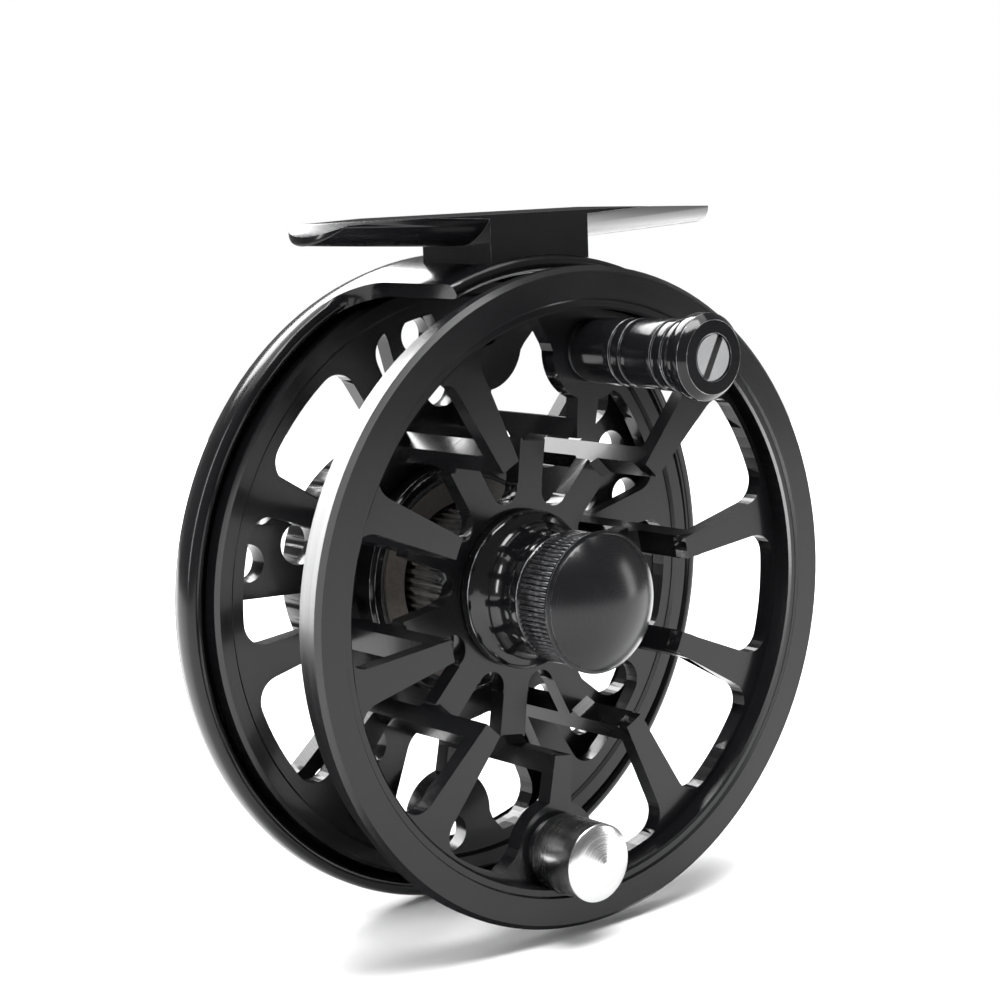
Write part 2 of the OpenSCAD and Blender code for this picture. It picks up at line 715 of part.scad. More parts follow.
// Two cupped spring washers, edge to edge, between the pressure plate and the pins.
module drag_springs() {
    in_r = spindle_r + 0.2;
    out_r = pin_orbit + pin_r + 0.6;
    a = spring_front;
    m = a + spring_t + spring_rise;
    colour_steel() on_axis() {
        turned([[in_r, a], [out_r, a + spring_rise], [out_r, m], [in_r, a + spring_t]]);
        turned([[in_r, m + spring_rise], [out_r, m], [out_r, m + spring_t],
                [in_r, m + spring_t + spring_rise]]);
    }
}

module thrust_pins() {
    colour_steel() on_axis() for (a = pin_angles) at_polar(pin_orbit, a) disc(pin_r, pins_front, knob_front);
}

module drag_knob() {
    ridges = 40;
    colour_black() on_axis() difference() {
        turned([[0, knob_front + run_gap], [knob_r - 0.8, knob_front + run_gap], [knob_r, knob_front + 0.8],
                [knob_r, knob_back - 2.0], [knob_r - 0.6, knob_back - 0.9], [knob_r - 2.2, knob_back],
                [7.4, knob_back], [7.0, knob_back - 0.4], [6.6, knob_back - knob_sink],
                [0, knob_back - knob_sink]]);
        disc(thread_r + run_gap, knob_front - 1, knob_back + 1);
        for (k = [0:ridges - 1]) rotate(k * 360 / ridges)
            translate([knob_r + 0.25, 0, -(knob_front + knob_back) / 2 + 0.6])
                cylinder(r = 0.75, h = knob_len, center = true, $fn = 24);
    }
}

module knob_washer() {
    colour_steel() on_axis() ring(5.0, thread_r, knob_back - knob_sink + 0.1, knob_back - knob_sink + 0.6);
}

module knob_nut() {
    seat = knob_back - knob_sink + 0.6;
    colour_steel() on_axis() difference() {
        union() {
            translate([0, 0, -(seat + 1.8)]) cylinder(r = 4.4, h = 1.5, $fn = 6);
            disc(3.6, seat, seat + 1.9);
        }
        disc(thread_r, seat - 1, seat + 1.4);
    }
}

// Click pawl, which rocks on a pin in the click chamber and rides over the gear's splines.
module pawl_at() { at_polar(pawl_orbit, pawl_angle) children(); }
module click_pawl() {
    colour_steel() on_axis() pawl_at() difference() {
        union() {
            disc(1.1, chamber_front + 0.2, chamber_front + 1.8);
            plate(chamber_front + 0.2, chamber_front + 1.8)
                polygon([[-1.0, -0.3], [1.0, -0.3], [0.9, 0.8], [-2.1, 3.6], [-2.6, 3.0]]);
        }
        disc(pawl_pin_r + run_gap, chamber_front - 1, chamber_front + 3);
    }
}
module pawl_pin() { colour_steel() on_axis() pawl_at() disc(pawl_pin_r, chamber_front + 0.1, stack_front); }
// Leaf spring behind the pawl, held in the housing's wall.
module pawl_spring() {
    colour_steel() on_axis() pawl_at() plate(chamber_front + 0.4, chamber_front + 1.6)
        translate([-0.75, 2.6]) square([2.1, 0.25]);
}

frame();
reel_foot();
foot_screws();
drag_housing();
housing_screws();
housing_cover();
housing_seal();
spindle();
reaction_ring();
front_friction_disc();
rear_friction_disc();
drag_rotor();
pressure_plate();
drag_springs();
thrust_pins();
drag_knob();
knob_washer();
knob_nut();
click_pawl();
pawl_pin();
pawl_spring();
spool();
hub_sleeve();
front_bearing();
rear_bearing();
drive_gear();
one_way_clutch();
release_knob();
knob_cap();
latch_plate();
handle_stud();
handle_washer();
handle_grip();
handle_screw();
counterweight();
counterweight_screw();
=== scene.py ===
"""Large-arbor fly reel: finishes, knurled pieces, studio light and camera, laid out as an add-on."""

import math

import bpy
from bpy.props import FloatProperty, FloatVectorProperty, IntProperty, PointerProperty
from mathutils import Matrix, Vector


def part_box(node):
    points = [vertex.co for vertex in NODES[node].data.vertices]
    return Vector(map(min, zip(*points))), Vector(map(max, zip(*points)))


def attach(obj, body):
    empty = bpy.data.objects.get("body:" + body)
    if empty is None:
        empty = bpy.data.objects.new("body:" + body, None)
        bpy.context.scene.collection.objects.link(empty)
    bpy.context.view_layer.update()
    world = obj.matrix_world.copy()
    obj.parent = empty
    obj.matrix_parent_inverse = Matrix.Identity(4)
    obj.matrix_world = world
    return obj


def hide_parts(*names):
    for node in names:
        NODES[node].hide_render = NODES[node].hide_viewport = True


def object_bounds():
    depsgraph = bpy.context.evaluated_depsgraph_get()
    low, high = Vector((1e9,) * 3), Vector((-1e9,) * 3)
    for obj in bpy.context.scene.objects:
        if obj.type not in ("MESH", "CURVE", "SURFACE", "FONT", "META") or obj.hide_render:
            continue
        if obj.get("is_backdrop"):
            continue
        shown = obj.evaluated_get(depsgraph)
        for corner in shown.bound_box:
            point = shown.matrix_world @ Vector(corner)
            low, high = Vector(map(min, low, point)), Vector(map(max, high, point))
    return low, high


bl_info = {
    "name": "Fly Reel Studio",
    "version": (1, 0, 0),
    "blender": (4, 5, 0),
    "location": "3D View > Sidebar > Fly Reel",
    "description": "Finishes a fly reel and sets its studio light and camera",
    "category": "Object",
}

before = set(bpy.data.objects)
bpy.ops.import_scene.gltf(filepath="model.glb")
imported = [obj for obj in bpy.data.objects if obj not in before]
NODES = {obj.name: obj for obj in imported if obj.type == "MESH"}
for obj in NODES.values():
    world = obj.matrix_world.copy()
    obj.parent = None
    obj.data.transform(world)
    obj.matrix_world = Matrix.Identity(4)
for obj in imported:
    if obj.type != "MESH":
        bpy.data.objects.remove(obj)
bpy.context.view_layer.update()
SPINDLE_LOW, SPINDLE_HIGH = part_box("spindle")
AXIS_Z = (SPINDLE_LOW[2] + SPINDLE_HIGH[2]) / 2

ROUND_STEPS = 192              # steps round a turned piece
CREASE = math.radians(40)      # edges sharper than this stay sharp on new pieces
BREAK_ANGLE = math.radians(32)  # edges sharper than this are broken on CAD pieces
WELD_REACH = 0.000002
BREAK_SEGMENTS = 2

KNOB_BORE_R = 0.0036
KNOB_RIDGE_R = 0.0003
KNOB_RIDGE_STAND = 0.00042     # from the knob's wall to the ridges' crests
KNOB_CHAMFER = 0.0003
KNOB_RECESS_R = 0.00705        # the cap sits in this recess
KNOB_RECESS_DEPTH = 0.0022

GEAR_BORE_R = 0.0060
GEAR_SPLINE_R = 0.00042
GEAR_SPLINE_STAND = 0.00045    # from the gear's root to the splines' crests
GEAR_CHAMFER = 0.0002
GEAR_RECESS_R = 0.0086
GEAR_RECESS_DEPTH = 0.0034
RIDGE_SEAT = 0.00002           # a ridge ring sits this far into or off its core

FLOOR_REACH = 0.55
FLOOR_RINGS = 24
FLOOR_STEPS = 96

# name, place from the reel's middle, width and height, power in watts
SOFTBOXES = (
    ("key_softbox", (-0.05, -0.30, 0.75), (0.50, 0.30), 7.0),
    ("left_softbox", (-0.80, 0.20, 0.35), (0.10, 0.70), 3.4),
    ("right_softbox", (0.75, -0.45, 0.05), (0.20, 0.60), 2.0),
    ("back_softbox", (0.10, 0.65, 0.55), (0.60, 0.30), 7.0),
    ("floor_wash", (0.0, 0.15, 1.40), (1.80, 1.80), 34.0),
)
WHITE = (1.0, 1.0, 1.0, 1.0)


# ---------------------------------------------------------------- settings

class FinishSettings(bpy.types.PropertyGroup):
    black: FloatVectorProperty(
        name="Anodised black", description="Colour of the anodised aluminium",
        default=(0.0032, 0.0032, 0.0036), size=3, subtype="COLOR", min=0.0, max=1.0)
    steel: FloatVectorProperty(
        name="Steel", description="Colour of the turned steel",
        default=(0.62, 0.62, 0.63), size=3, subtype="COLOR", min=0.0, max=1.0)
    bright: FloatVectorProperty(
        name="Bright steel", description="Colour of the polished gear, screw and counterweight",
        default=(0.66, 0.66, 0.66), size=3, subtype="COLOR", min=0.0, max=1.0)
    cover: FloatVectorProperty(
        name="Cover", description="Colour of the drag housing's bearing ring",
        default=(0.075, 0.066, 0.058), size=3, subtype="COLOR", min=0.0, max=1.0)
    edge_width: FloatProperty(
        name="Edge width", description="Width of the polished edge breaks",
        default=0.00008, unit="LENGTH", min=0.00002, max=0.0005, precision=6)
    turning_pitch: FloatProperty(
        name="Turning pitch", description="Spacing of the turning marks",
        default=0.00022, unit="LENGTH", min=0.00005, max=0.002, precision=6)


class KnurlSettings(bpy.types.PropertyGroup):
    release_ridges: IntProperty(
        name="Release knob ridges", description="Ridges round the release knob",
        default=78, min=20, max=120)
    gear_splines: IntProperty(
        name="Gear splines", description="Splines round the drive gear",
        default=54, min=20, max=90)


class StudioSettings(bpy.types.PropertyGroup):
    azimuth: FloatProperty(
        name="Azimuth", description="Camera's angle round the reel",
        default=math.radians(-39.32), subtype="ANGLE")
    elevation: FloatProperty(
        name="Elevation", description="Camera's angle above the reel",
        default=math.radians(8.38), subtype="ANGLE")
    roll: FloatProperty(
        name="Roll", description="Camera's tilt about its own axis",
        default=math.radians(-2.0), subtype="ANGLE")
    distance: FloatProperty(
        name="Distance", description="Distance from the camera to its aim",
        default=0.2998, unit="LENGTH", min=0.05, max=3.0)
    aim: FloatVectorProperty(
        name="Aim", description="Point that the camera looks at",
        default=(-0.00035, 0.00240, -0.03664), size=3, subtype="XYZ", unit="LENGTH")
    lens: FloatProperty(
        name="Lens", description="Focal length on a 36 mm sensor", default=84.14, min=10, max=300)
    air: FloatProperty(
        name="Air", description="Strength of the all-round light", default=0.22, min=0.0, max=2.0)
    floor: FloatVectorProperty(
        name="Floor", description="Colour of the floor",
        default=(0.93, 0.93, 0.93), size=3, subtype="COLOR", min=0.0, max=1.0)


# ---------------------------------------------------------------- shader maths

class Sock:
    """A shader socket, or a number, on which Python's operators add Math nodes."""

    def __init__(self, mat, out):
        self.mat, self.out = mat, out

    def _math(self, op, other=None):
        node = self.mat.tree.nodes.new("ShaderNodeMath")
        node.operation = op
        for socket, value in zip(node.inputs, (self, other)):
            if value is None:
                continue
            if isinstance(value, Sock):
                self.mat.tree.links.new(value.out, socket)
            else:
                socket.default_value = value
        return Sock(self.mat, node.outputs[0])

    def _swap(self, op, other):
        node = self.mat.tree.nodes.new("ShaderNodeMath")
        node.operation = op
        node.inputs[0].default_value = other
        self.mat.tree.links.new(self.out, node.inputs[1])
        return Sock(self.mat, node.outputs[0])

    def __add__(self, o): return self._math("ADD", o)
    __radd__ = __add__
    def __sub__(self, o): return self._math("SUBTRACT", o)
    def __rsub__(self, o): return self._swap("SUBTRACT", o)
    def __mul__(self, o): return self._math("MULTIPLY", o)
    __rmul__ = __mul__
    def above(self, o): return self._math("GREATER_THAN", o)
    def root(self): return self._math("SQRT")
    def sine(self): return self._math("SINE")
    def clamp(self): return self._math("MINIMUM", 1.0)._math("MAXIMUM", 0.0)


class Finish:
    """A procedural material built round one Principled shader."""

    def __init__(self, name, colour, metallic=0.0, roughness=0.3, **constants):
        self.material = bpy.data.materials.new(name)
        self.material.use_nodes = True
        self.tree = self.material.node_tree
        self.shader = self.tree.nodes["Principled BSDF"]
        self.set("Base Color", (*colour, 1.0))
        self.set("Metallic", metallic)
        self.set("Roughness", roughness)
        for key, value in constants.items():
            self.set(key.replace("_", " "), value)

    def set(self, name, value):
        self.shader.inputs[name].default_value = value

    def node(self, kind, settings=None, outputs=0, **sockets):
        """Adds a node: its settings first, then the values or links of its sockets."""
        node = self.tree.nodes.new(kind)
        for key, value in (settings or {}).items():
            setattr(node, key, value)
        for name, value in sockets.items():
            if isinstance(value, Sock):
                self.tree.links.new(value.out, node.inputs[name])
            else:
                node.inputs[name].default_value = value
        return Sock(self, node.outputs[outputs])

    def feed(self, name, sock):
        self.tree.links.new(sock.out, self.shader.inputs[name])

    def place(self):
        return self.node("ShaderNodeTexCoord", outputs=3)

    def parts_of(self, vector):
        split = self.tree.nodes.new("ShaderNodeSeparateXYZ")
        self.tree.links.new(vector.out, split.inputs[0])
        return [Sock(self, out) for out in split.outputs]

    def radius(self, x0=0.0, z0=None):
        """Distance from an axis along Y, in metres."""
        x, y, z = self.parts_of(self.place())
        dx = x - x0
        dz = z - (AXIS_Z if z0 is None else z0)
        return (dx * dx + dz * dz).root(), y

    def noise(self, scale, detail=3.0):
        return self.node("ShaderNodeTexNoise", {"noise_dimensions": "3D"}, Vector=self.place(),
                         Scale=scale, Detail=detail, Roughness=0.55)

    def marks(self, coordinate, pitch, detail=2.0):
        """Fine lines across a coordinate, as a turning tool leaves them."""
        return self.node("ShaderNodeTexNoise", {"noise_dimensions": "1D"}, W=coordinate * (1.0 / pitch),
                         Scale=1.0, Detail=detail, Roughness=0.6)

    def mix(self, factor, low, high):
        """One colour where the factor is 0 and another where it is 1."""
        node = self.tree.nodes.new("ShaderNodeMix")
        node.data_type = "RGBA"
        self.tree.links.new(factor.out, node.inputs[0])
        node.inputs[6].default_value = (*low, 1.0)
        node.inputs[7].default_value = (*high, 1.0)
        return Sock(self, node.outputs[2])

    def bump(self, height, strength, distance):
        self.feed("Normal", self.node("ShaderNodeBump", Height=height, Strength=strength, Distance=distance))


# ---------------------------------------------------------------- finishes

def shade(colour, k):
    return tuple(min(1.0, c * k) for c in colour)


def anodised(name, settings, rough=0.30, turned=1.0, centre=(0.0, None), sheen=0.0):
    """Black anodised aluminium with fine turning marks about an axis, random cloudy tone and dust specks, and
    tiny specks painted lighter as painted highlights.
    """
    f = Finish(name, settings.black, metallic=0.0, roughness=rough, IOR=1.45,
               Specular_IOR_Level=0.30, Coat_Roughness=0.08)
    r, y = f.radius(*centre)
    lines = f.marks(r + y * 0.37, settings.turning_pitch)
    cloud = f.noise(90.0, 4.0)
    speck = f.noise(5200.0, 2.0)
    # painted highlight: the brightest specks are painted lighter in the base colour as tiny painted glints
    painted_glint = (speck - 0.66).clamp() * 3.0
    dust = (f.noise(2600.0, 1.0) - 0.70).clamp() * 2.0
    f.feed("Base Color", f.mix((cloud * 0.55 + painted_glint * 0.35 + dust * 0.3).clamp(), settings.black,
                               shade(settings.black, 3.4)))
    f.feed("Roughness", (cloud * 0.10 + lines * 0.14 * turned + (rough - 0.12)).clamp())
    f.set("Coat Weight", 0.10 + sheen)
    f.bump(lines * (0.6 * turned) + speck * 0.25, 0.22, 0.000008)
    return f.material


def edge_metal(name):
    """Polished edge break where the black is thin."""
    f = Finish(name, (0.12, 0.12, 0.125), metallic=0.7, roughness=0.22)
    blotches = f.noise(700.0, 5.0)
    f.feed("Base Color", f.mix((blotches * 2.2 - 0.75).clamp(), (0.02, 0.02, 0.021), (0.34, 0.34, 0.35)))
    f.feed("Roughness", blotches * 0.25 + 0.12)
    return f.material


def turned_steel(name, colour, settings, rough=0.22, centre=(0.0, None), pitch=1.0, face=False):
    """Bright turned steel; its marks run round the axis."""
    f = Finish(name, colour, metallic=1.0, roughness=rough)
    r, y = f.radius(*centre)
    lines = f.marks(r + y * 0.43, settings.turning_pitch * pitch, 3.0)
    broad = f.marks(r + y * 0.31, settings.turning_pitch * 7.0 * pitch, 2.0)
    smudge = f.noise(160.0, 4.0)
    f.feed("Base Color", f.mix((lines * 0.5 + smudge * 0.5).clamp(), shade(colour, 0.72),
                               shade(colour, 1.12)))
    f.feed("Roughness", (lines * 0.16 + smudge * 0.14 + broad * 0.08 + rough - 0.18).clamp())
    f.bump(lines + broad * 0.6, 0.5, 0.000014 if face else 0.000009)
    return f.material


def cover_polymer(name, settings):
    """Grey-brown polymer with fibres and turning marks."""
    f = Finish(name, settings.cover, metallic=0.0, roughness=0.4)
    r, _ = f.radius()
    lines = f.marks(r, settings.turning_pitch * 1.6)
    fibre = f.noise(2400.0, 5.0)
    f.feed("Base Color", f.mix(fibre, shade(settings.cover, 0.6), shade(settings.cover, 1.5)))
    f.feed("Roughness", fibre * 0.2 + lines * 0.15 + 0.22)
    f.bump(lines + fibre * 0.5, 0.5, 0.00002)
    return f.material


def carbon_disc(name):
    """Carbon twill across a friction disc."""
    f = Finish(name, (0.03, 0.03, 0.032), metallic=0.0, roughness=0.45)
    x, _, z = f.parts_of(f.place())
    weave = 2500.0
    warp = (x * weave).sine().above(0.0)
    weft = (z * weave).sine().above(0.0)
    twill = (warp + weft) * 0.5
    f.feed("Base Color", f.mix(twill, (0.016, 0.016, 0.018), (0.06, 0.06, 0.062)))
    f.feed("Roughness", twill * 0.2 + f.noise(900.0) * 0.2 + 0.2)
    return f.material


def rubber(name):
    """Matt black rubber."""
    f = Finish(name, (0.02, 0.02, 0.02), roughness=0.6)
    grain = f.noise(3000.0, 3.0)
    f.feed("Roughness", grain * 0.3 + 0.45)
    f.bump(grain, 0.4, 0.00002)
    return f.material


def knurl_glint_finish(name, settings):
    """Black ridges painted lighter, up to grey, in random blotches: a painted highlight that stands for
    glints on their crests.
    """
    f = Finish(name, settings.black, metallic=0.35, roughness=0.24, Specular_IOR_Level=0.5)
    _, y, _ = f.parts_of(f.place())
    blotches = f.noise(900.0, 4.0)
    # painted highlight: the blotches lift the ridges' colour from near black to grey
    f.feed("Base Color", f.mix((blotches * 1.5 - 0.4).clamp(), shade(settings.black, 3.0), (0.11, 0.11, 0.115)))
    f.feed("Roughness", blotches * 0.2 + 0.14)
    f.bump(f.marks(y, settings.turning_pitch * 0.6), 0.4, 0.00001)
    return f.material


def dome_finish(name, settings):
    """Black dome with fine turned marks and a soft sheen."""
    f = Finish(name, shade(settings.black, 2.0), metallic=0.15, roughness=0.3, IOR=1.45,
               Specular_IOR_Level=0.45)
    r, _ = f.radius()
    lines = f.marks(r, settings.turning_pitch * 0.5, 3.0)
    cloud = f.noise(140.0, 4.0)
    f.feed("Base Color", f.mix((lines * 0.5 + cloud * 0.5).clamp(), shade(settings.black, 1.2),
                               shade(settings.black, 4.5)))
    f.feed("Roughness", (lines * 0.12 + cloud * 0.10 + 0.14).clamp())
    f.bump(lines, 0.35, 0.000005)
    return f.material


def studio_floor(name, colour):
    """Almost even white paper."""
    f = Finish(name, colour, roughness=0.9)
    grain = f.noise(14.0, 3.0)
    f.feed("Base Color", f.mix(grain, shade(colour, 0.985), shade(colour, 1.01)))
    f.feed("Roughness", grain * 0.1 + 0.85)
    return f.material


def paint(node, material, edge=None, width=0.0):
    """Puts a finish on a CAD node and, where asked, breaks its edges with a second finish."""
    obj = NODES[node]
    obj.data.materials.clear()
    obj.data.materials.append(material)
    weld = obj.modifiers.new("weld", "WELD")
    weld.merge_threshold = WELD_REACH
    if edge:
        obj.data.materials.append(edge)
        bevel = obj.modifiers.new("edge_break", "BEVEL")
        bevel.width = width
        bevel.segments = BREAK_SEGMENTS
        bevel.limit_method = "ANGLE"
        bevel.angle_limit = BREAK_ANGLE
        bevel.use_clamp_overlap = True
        bevel.harden_normals = False
        bevel.material = 1


# ---------------------------------------------------------------- geometry nodes

class Tree:
    """A geometry node tree built node by node."""

    def __init__(self, name):
        self.group = bpy.data.node_groups.new(name, "GeometryNodeTree")
        self.face = self.group.interface
        self.group.is_modifier = True
        self.face.new_socket("Geometry", in_out="OUTPUT", socket_type="NodeSocketGeometry")
        self.entry = self.group.nodes.new("NodeGroupInput")

    def value(self, name, kind, default):
        socket = self.face.new_socket(name, in_out="INPUT", socket_type=kind)
        if default is not None:
            socket.default_value = default
        return self.entry.outputs[name]

    def node(self, kind, settings=None, **sockets):
        node = self.group.nodes.new(kind)
        for key, value in (settings or {}).items():
            setattr(node, key, value)
        for key, value in sockets.items():
            socket = node.inputs[int(key[1:])] if key[0] == "i" and key[1:].isdigit() else node.inputs[
                key.replace("_", " ")]
            if isinstance(value, bpy.types.NodeSocket):
                self.group.links.new(value, socket)
            else:
                socket.default_value = value
        return node

    def maths(self, op, a, b):
        return self.node("ShaderNodeMath", {"operation": op}, i0=a, i1=b).outputs[0]

    def finish(self, geometry, material):
        whole = self.node("GeometryNodeRealizeInstances", Geometry=geometry)
        painted = self.node("GeometryNodeSetMaterial", Geometry=whole.outputs[0], Material=material)
        out = self.group.nodes.new("NodeGroupOutput")
        self.group.links.new(painted.outputs[0], out.inputs[0])
        return self.group


def ridge_tree(name):
    """Ridges in a ring about the Z axis; each is a short bar with a pointed crest and sloped ends."""
    t = Tree(name)
    count = t.value("Count", "NodeSocketInt", 48)
    ring = t.value("Ring radius", "NodeSocketFloat", 0.009)
    length = t.value("Length", "NodeSocketFloat", 0.005)
    crest = t.value("Ridge radius", "NodeSocketFloat", 0.0004)
    sides = t.value("Sides", "NodeSocketInt", 6)
    material = t.value("Material", "NodeSocketMaterial", None)
    tip_depth = t.maths("MULTIPLY", crest, 0.6)
    straight = t.maths("SUBTRACT", length, t.maths("MULTIPLY", crest, 1.2))
    bar = t.node("GeometryNodeMeshCylinder", {"fill_type": "NGON"}, Vertices=sides, Radius=crest,
                 Depth=straight)
    tip = t.node("GeometryNodeMeshCone", {"fill_type": "NGON"}, Vertices=sides,
                 Radius_Top=t.maths("MULTIPLY", crest, 0.35), Radius_Bottom=crest, Depth=tip_depth)
    half = t.maths("MULTIPLY", straight, 0.5)
    up = t.node("ShaderNodeCombineXYZ", X=0.0, Y=0.0, Z=half)
    top = t.node("GeometryNodeTransform", Geometry=tip.outputs[0], Translation=up.outputs[0])
    low = t.node("ShaderNodeCombineXYZ", X=0.0, Y=0.0, Z=t.maths("MULTIPLY", half, -1.0))
    bottom = t.node("GeometryNodeTransform", Geometry=tip.outputs[0], Translation=low.outputs[0],
                    Rotation=(math.pi, 0.0, 0.0))
    whole = t.node("GeometryNodeJoinGeometry")
    for piece in (bar.outputs[0], top.outputs[0], bottom.outputs[0]):
        t.group.links.new(piece, whole.inputs[0])
    circle = t.node("GeometryNodeMeshCircle", {"fill_type": "NONE"}, Vertices=count, Radius=ring)
    index = t.node("GeometryNodeInputIndex")
    turn = t.maths("MULTIPLY", index.outputs[0], t.maths("DIVIDE", 2 * math.pi, count))
    facing = t.node("ShaderNodeCombineXYZ", X=0.0, Y=0.0, Z=turn)
    bars = t.node("GeometryNodeInstanceOnPoints", Points=circle.outputs[0], Instance=whole.outputs[0],
                  Rotation=facing.outputs[0])
    return t.finish(bars.outputs[0], material)


def grow(name, tree, values, place, material):
    """Runs a geometry node tree and returns its result as a plain mesh in the row frame."""
    seed = bpy.data.meshes.new(name + "_seed")
    host = bpy.data.objects.new(name + "_host", seed)
    bpy.context.scene.collection.objects.link(host)
    modifier = host.modifiers.new("grow", "NODES")
    modifier.node_group = tree
    values = {**values, "Material": material}
    for item in tree.interface.items_tree:
        if item.item_type == "SOCKET" and item.in_out == "INPUT" and item.name in values:
            modifier[item.identifier] = values[item.name]
    host.update_tag()
    bpy.context.view_layer.update()
    found = host.evaluated_get(bpy.context.evaluated_depsgraph_get())
    mesh = bpy.data.meshes.new_from_object(found)
    mesh.transform(place)
    mesh.name = name
    piece = bpy.data.objects.new(name, mesh)
    bpy.context.scene.collection.objects.link(piece)
    bpy.data.objects.remove(host)
    if len(mesh.polygons) == 0:
        raise RuntimeError("the tree made nothing for " + name)
    return piece


def turned_piece(name, profile, material, place):
    """A round body about its place's Z axis, from a closed outline of (radius, height) points."""
    verts, faces = [], []
    for i in range(ROUND_STEPS):
        a = 2 * math.pi * i / ROUND_STEPS
        verts += [(r * math.cos(a), r * math.sin(a), h) for r, h in profile]
    n = len(profile)
    for i in range(ROUND_STEPS):
        j = (i + 1) % ROUND_STEPS
        faces += [(i * n + k, j * n + k, j * n + k + 1, i * n + k + 1) for k in range(n - 1)]
        faces.append((i * n + n - 1, j * n + n - 1, j * n, i * n))
    mesh = bpy.data.meshes.new(name)
    mesh.from_pydata(verts, [], faces)
    mesh.transform(place)
    mesh.validate()
    mesh.update()
    mesh.materials.append(material)
    obj = bpy.data.objects.new(name, mesh)
    bpy.context.scene.collection.objects.link(obj)
    return obj


def ring_profile(bore, wall, half, chamfer, recess, depth):
    """Outline of a ring with chamfered outer edges and a recess in its front end."""
    return [
        (bore, -half), (wall - chamfer, -half), (wall, -half + chamfer), (wall, half - chamfer),
        (wall - chamfer, half), (recess, half), (recess, half - depth), (bore, half - depth)]


def about_axis(depth):
    """Place whose Z axis is the spool axis, pointing to the front, at a depth along Y."""
    return Matrix.Translation((0.0, depth, AXIS_Z)) @ Matrix.Rotation(math.pi / 2, 4, "X")


def smooth_faces(obj):
    """Smooth shading with creases at sharp edges."""
    mesh = obj.data
    mesh.polygons.foreach_set("use_smooth", [True] * len(mesh.polygons))
    normals = [p.normal.copy() for p in mesh.polygons]
    by_edge = {}
    for p in mesh.polygons:
        for key in p.edge_keys:
            by_edge.setdefault(key, []).append(p.index)
    limit = math.cos(CREASE)
    for edge in mesh.edges:
        pair = by_edge.get(tuple(sorted(edge.vertices)), [])
        edge.use_edge_sharp = len(pair) != 2 or normals[pair[0]].dot(normals[pair[1]]) < limit


# ---------------------------------------------------------------- operators

class REEL_OT_frame(bpy.types.Operator):
    """Finishes the frame, the foot and their screws"""
    bl_idname = "reel.frame"
    bl_label = "Frame and Foot"

    def execute(self, context):
        s = context.scene.reel_finish
        black = anodised("frame_black", s, rough=0.20)
        edge = edge_metal("frame_edge")
        foot = anodised("foot_black", s, rough=0.24, turned=0.3)
        paint("frame", black, edge, s.edge_width)
        paint("reel_foot", foot, edge, s.edge_width * 1.3)
        paint("drag_housing", anodised("housing_black", s, rough=0.18), edge, s.edge_width * 0.8)
        paint("housing_cover", cover_polymer("cover_polymer", s))
        steel = turned_steel("frame_steel", s.steel, s)
        for node in ("foot_screws", "housing_screws"):
            paint(node, steel)
        return {"FINISHED"}


class REEL_OT_spool(bpy.types.Operator):
    """Finishes the spool and its hub sleeve"""
    bl_idname = "reel.spool"
    bl_label = "Spool"

    def execute(self, context):
        s = context.scene.reel_finish
        black = anodised("spool_black", s, rough=0.22)
        edge = edge_metal("spool_edge")
        paint("spool", black, edge, s.edge_width)
        paint("hub_sleeve", anodised("sleeve_black", s, rough=0.15, sheen=0.3), edge, s.edge_width)
        return {"FINISHED"}


class REEL_OT_release_knob(bpy.types.Operator):
    """Builds the knurled release knob and finishes its domed cap"""
    bl_idname = "reel.release_knob"
    bl_label = "Release Knob"

    def execute(self, context):
        s, k = context.scene.reel_finish, context.scene.reel_knurl
        black = anodised("knob_black", s, rough=0.24)
        # the knurl's ridges take a material with a painted highlight in its colour
        glint_knurl = knurl_glint_finish("knurl_black_painted_glint", s)
        low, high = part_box("release_knob")
        outer = (high[0] - low[0]) / 2
        length = high[1] - low[1]
        middle = (low[1] + high[1]) / 2
        wall = outer - KNOB_RIDGE_STAND
        core = turned_piece("knob_core", ring_profile(
            KNOB_BORE_R, wall, length / 2, KNOB_CHAMFER, KNOB_RECESS_R, KNOB_RECESS_DEPTH),
            black, about_axis(middle))
        ridges = grow("knob_ridges", ridge_tree("knob_ridge_ring"), {
            "Count": k.release_ridges, "Ring radius": wall - RIDGE_SEAT, "Length": length - 0.0005,
            "Ridge radius": KNOB_RIDGE_R, "Sides": 6}, about_axis(middle), glint_knurl)
        for piece in (core, ridges):
            smooth_faces(piece)
            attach(piece, "release_body")
        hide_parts("release_knob")
        dome = dome_finish("dome_black", s)
        paint("knob_cap", dome, edge_metal("cap_edge"), s.edge_width)
        paint("latch_plate", turned_steel("latch_steel", s.steel, s))
        return {"FINISHED"}


class REEL_OT_crank(bpy.types.Operator):
    """Finishes the handle, its screw and the counterweight"""
    bl_idname = "reel.crank"
    bl_label = "Handle and Counterweight"

    def execute(self, context):
        s = context.scene.reel_finish
        low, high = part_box("handle_grip")
        grip = ((low[0] + high[0]) / 2, (low[2] + high[2]) / 2)
        low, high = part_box("counterweight")
        weight = ((low[0] + high[0]) / 2, (low[2] + high[2]) / 2)
        black = anodised("grip_black", s, rough=0.17, turned=0.5, centre=grip)
        paint("handle_grip", black, edge_metal("grip_edge"), s.edge_width * 0.6)
        bright = turned_steel("screw_bright", shade(s.steel, 0.55), s, rough=0.36, centre=grip)
        paint("handle_screw", bright, bright, s.edge_width)
        steel = turned_steel("stud_steel", s.steel, s, centre=grip)
        for node in ("handle_stud", "handle_washer", "counterweight_screw"):
            paint(node, steel)
        shiny = turned_steel("weight_bright", s.bright, s, rough=0.24, centre=weight, pitch=1.2, face=True)
        paint("counterweight", shiny, shiny, s.edge_width)
        return {"FINISHED"}


